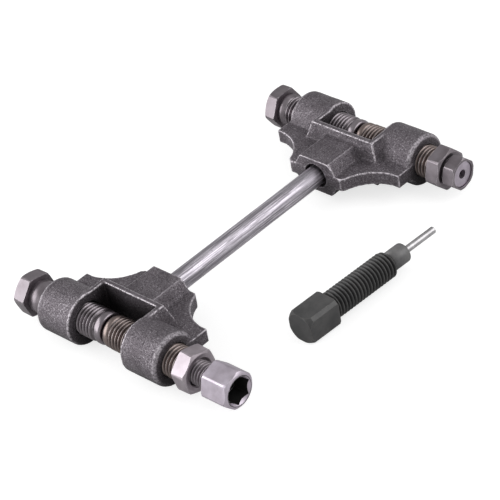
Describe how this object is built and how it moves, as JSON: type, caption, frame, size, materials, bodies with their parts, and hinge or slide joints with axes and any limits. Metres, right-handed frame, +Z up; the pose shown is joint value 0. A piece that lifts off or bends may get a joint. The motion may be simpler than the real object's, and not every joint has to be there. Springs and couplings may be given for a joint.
{
  "type": "chain tool",
  "caption": "Workshop tool for cutting and riveting drive chain: two cast yokes joined by a steel rod, with opposed threaded bolts, push screws and a spare punch.",
  "frame": {"origin": "middle of the footprint, on the surface the tool lies on", "axes": "+X along the bolts towards the push screws, +Y along the rod from the front head to the rear head, +Z up"},
  "size_m": [0.1346, 0.2, 0.026],
  "materials": {
    "cast_iron": "rough sand-cast surface with brighter worn edges",
    "drawn_rod": "drawn steel bar with long fine streaks",
    "machined_steel": "satin turned and milled steel, rust in the thread grooves",
    "black_steel": "black oxide, satin",
    "hard_pin": "ground and polished pin"
  },
  "bodies": {
    "frame": {"front_head_casting": "cast_iron", "rear_head_casting": "cast_iron", "handle_rod": "drawn_rod"},
    "front_anvil": {"front_anvil_bolt": "machined_steel"},
    "rear_anvil": {"rear_anvil_bolt": "machined_steel"},
    "front_sleeve": {"front_sleeve_bolt": "machined_steel"},
    "rear_sleeve": {"rear_sleeve_bolt": "machined_steel"},
    "front_pin": {"front_push_pin": "hard_pin"},
    "front_screw": {"front_push_screw": "machined_steel"},
    "rear_pin": {"rear_push_pin": "hard_pin"},
    "rear_screw": {"rear_push_screw": "machined_steel", "rear_guide_disc": "machined_steel"},
    "spare_punch": {"spare_punch_screw": "black_steel", "spare_punch_pin": "hard_pin"}
  },
  "joints": [
    {"name": "front_anvil_travel", "type": "slide", "parent": "frame", "child": "front_anvil", "axis": [-1, 0, 0], "range_m": [-0.0004, 0.012]},
    {"name": "rear_anvil_travel", "type": "slide", "parent": "frame", "child": "rear_anvil", "axis": [-1, 0, 0], "range_m": [-0.0004, 0.012]},
    {"name": "front_sleeve_travel", "type": "slide", "parent": "frame", "child": "front_sleeve", "axis": [1, 0, 0], "range_m": [-0.0004, 0.01]},
    {"name": "rear_sleeve_travel", "type": "slide", "parent": "frame", "child": "rear_sleeve", "axis": [1, 0, 0], "range_m": [-0.0004, 0.01]},
    {"name": "front_push_feed", "type": "slide", "parent": "front_sleeve", "child": "front_pin", "axis": [-1, 0, 0], "range_m": [-0.01, 0.008]},
    {"name": "front_push_turn", "type": "hinge", "parent": "front_pin", "child": "front_screw", "pos_m": [0.0303, -0.087, 0.013], "axis": [-1, 0, 0], "range_deg": [-2000, 1600]},
    {"name": "rear_push_feed", "type": "slide", "parent": "rear_sleeve", "child": "rear_pin", "axis": [-1, 0, 0], "range_m": [-0.01, 0.0008]},
    {"name": "rear_push_turn", "type": "hinge", "parent": "rear_pin", "child": "rear_screw", "pos_m": [0.0303, 0.087, 0.013], "axis": [-1, 0, 0], "range_deg": [-2000, 160]},
    {"name": "spare_lift", "type": "slide", "parent": "frame", "child": "spare_punch", "axis": [0, 0, 1], "range_m": [0, 0.03]}
  ],
  "couplings": [
    {"joint": "front_push_feed", "follows": "front_push_turn", "m_per_rad": 0.00027852},
    {"joint": "rear_push_feed", "follows": "rear_push_turn", "m_per_rad": 0.00027852}
  ]
}
